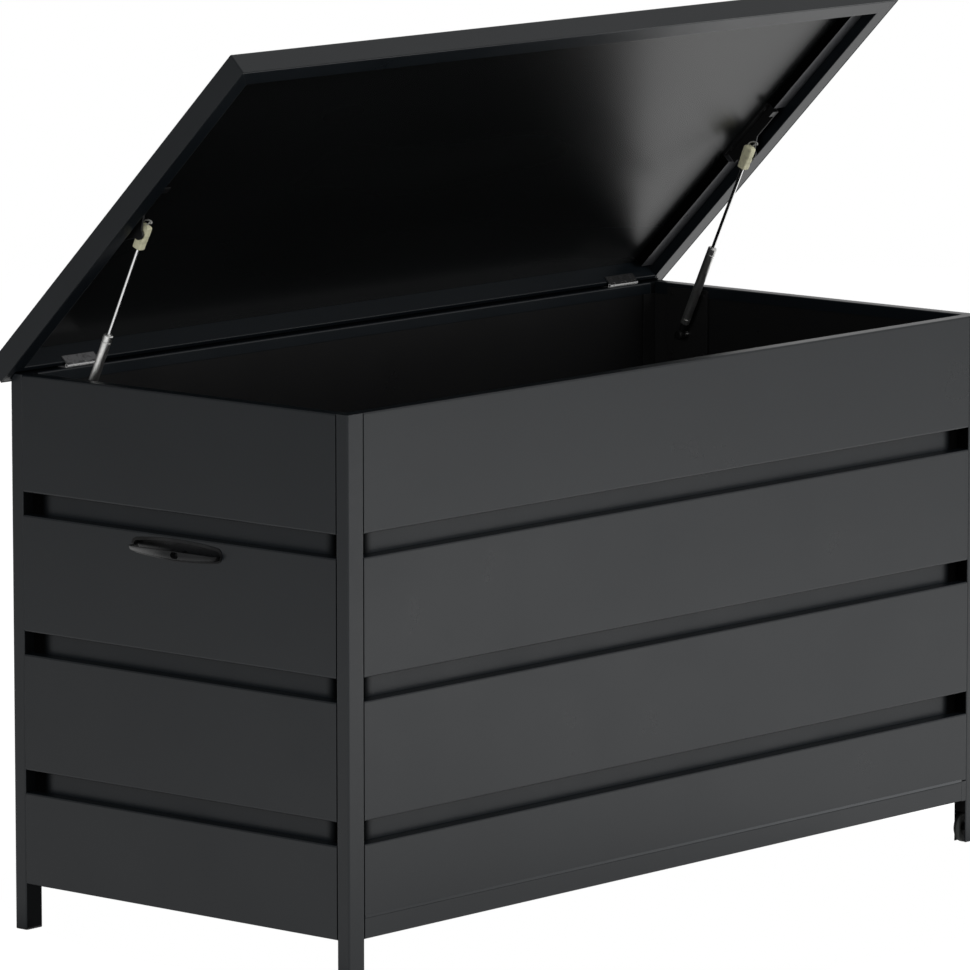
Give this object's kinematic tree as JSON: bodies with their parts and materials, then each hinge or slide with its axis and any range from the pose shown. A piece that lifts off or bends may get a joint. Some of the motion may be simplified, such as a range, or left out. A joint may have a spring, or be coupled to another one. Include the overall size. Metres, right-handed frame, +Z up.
{
  "type": "rolling storage chest",
  "caption": "Low rectangular steel storage chest of folded boards with a framed lid hinged open on gas struts, a recessed end handle and small rollers under one end.",
  "frame": {"origin": "centre of the footprint at floor level", "axes": "+X along the front towards the wheels, -Y out of the front face, +Z up"},
  "size_m": [1.5714, 0.7297, 1.3948],
  "materials": {
    "body_paint": "satin powder coat",
    "inner_paint": "semi-gloss",
    "bright_steel": "zinc plated",
    "rod_chrome": "polished",
    "tube_metal": "satin",
    "socket_plastic": "matte",
    "handle_plastic": "satin",
    "black_plastic": "matte",
    "hub_plastic": "matte",
    "tyre_rubber": "matte"
  },
  "bodies": {
    "chest": {"chest_screws": "bright_steel", "corner_angles": "inner_paint", "end_liners": "inner_paint", "end_rails": "body_paint", "floor_joists": "body_paint", "floor_panel": "inner_paint", "front_board_bottom": "body_paint", "front_board_lower": "body_paint", "front_board_top": "body_paint", "front_board_upper": "body_paint", "front_liner": "inner_paint", "front_rail": "body_paint", "handle": "handle_plastic", "hinge_chest_leaves": "bright_steel", "hinge_pins": "bright_steel", "left_board_bottom": "body_paint", "left_board_lower": "body_paint", "left_board_top": "body_paint", "left_board_upper": "body_paint", "left_posts": "body_paint", "lower_ball_studs": "bright_steel", "post_feet": "black_plastic", "rear_board_bottom": "body_paint", "rear_board_lower": "body_paint", "rear_board_top": "body_paint", "rear_board_upper": "body_paint", "rear_liner": "inner_paint", "rear_rail": "body_paint", "right_board_bottom": "body_paint", "right_board_lower": "body_paint", "right_board_top": "body_paint", "right_board_upper": "body_paint", "right_posts": "body_paint", "strut_chest_brackets": "inner_paint", "wheel_axles": "bright_steel", "wheel_forks": "black_plastic"},
    "lid": {"lid_skin": "body_paint", "lid_lining": "inner_paint", "lid_member_front": "body_paint", "lid_member_rear": "body_paint", "lid_member_left": "body_paint", "lid_member_right": "body_paint", "hinge_lid_leaves": "bright_steel", "strut_lid_brackets": "inner_paint", "lid_screws": "bright_steel"},
    "left_strut": {"left_strut_tube": "tube_metal", "left_lower_socket": "socket_plastic"},
    "left_rod": {"left_strut_rod": "rod_chrome", "left_upper_socket": "socket_plastic", "left_upper_stud": "bright_steel"},
    "right_strut": {"right_strut_tube": "tube_metal", "right_lower_socket": "socket_plastic"},
    "right_rod": {"right_strut_rod": "rod_chrome", "right_upper_socket": "socket_plastic", "right_upper_stud": "bright_steel"},
    "front_wheel": {"front_tyre": "tyre_rubber", "front_hub": "hub_plastic"},
    "rear_wheel": {"rear_tyre": "tyre_rubber", "rear_hub": "hub_plastic"}
  },
  "joints": [
    {"name": "lid_hinge", "type": "hinge", "parent": "chest", "child": "lid", "pos_m": [0, 0.3291, 0.8743], "axis": [-1, 0, 0], "range_deg": [-45, 0]},
    {"name": "left_strut_pivot", "type": "hinge", "parent": "chest", "child": "left_strut", "pos_m": [-0.7235, 0.2525, 0.789], "axis": [-1, 0, 0], "range_deg": [-45, 0]},
    {"name": "right_strut_pivot", "type": "hinge", "parent": "chest", "child": "right_strut", "pos_m": [0.7235, 0.2525, 0.789], "axis": [-1, 0, 0], "range_deg": [-45, 0]},
    {"name": "left_rod_slide", "type": "slide", "parent": "left_strut", "child": "left_rod", "axis": [0, -0.4174, 0.9087], "range_m": [-0.088, 0]},
    {"name": "right_rod_slide", "type": "slide", "parent": "right_strut", "child": "right_rod", "axis": [0, -0.4174, 0.9087], "range_m": [-0.088, 0]},
    {"name": "front_wheel_spin", "type": "hinge", "parent": "chest", "child": "front_wheel", "pos_m": [0.7508, -0.334, 0.02525], "axis": [0, 1, 0], "continuous": true},
    {"name": "rear_wheel_spin", "type": "hinge", "parent": "chest", "child": "rear_wheel", "pos_m": [0.7508, 0.334, 0.02525], "axis": [0, 1, 0], "continuous": true}
  ],
  "couplings": [
    {"joint": "left_strut_pivot", "follows": "lid_hinge", "ratio": 0.99313},
    {"joint": "right_strut_pivot", "follows": "lid_hinge", "ratio": 0.99313},
    {"joint": "left_rod_slide", "follows": "lid_hinge", "m_per_rad": 0.1117},
    {"joint": "right_rod_slide", "follows": "lid_hinge", "m_per_rad": 0.1117}
  ]
}
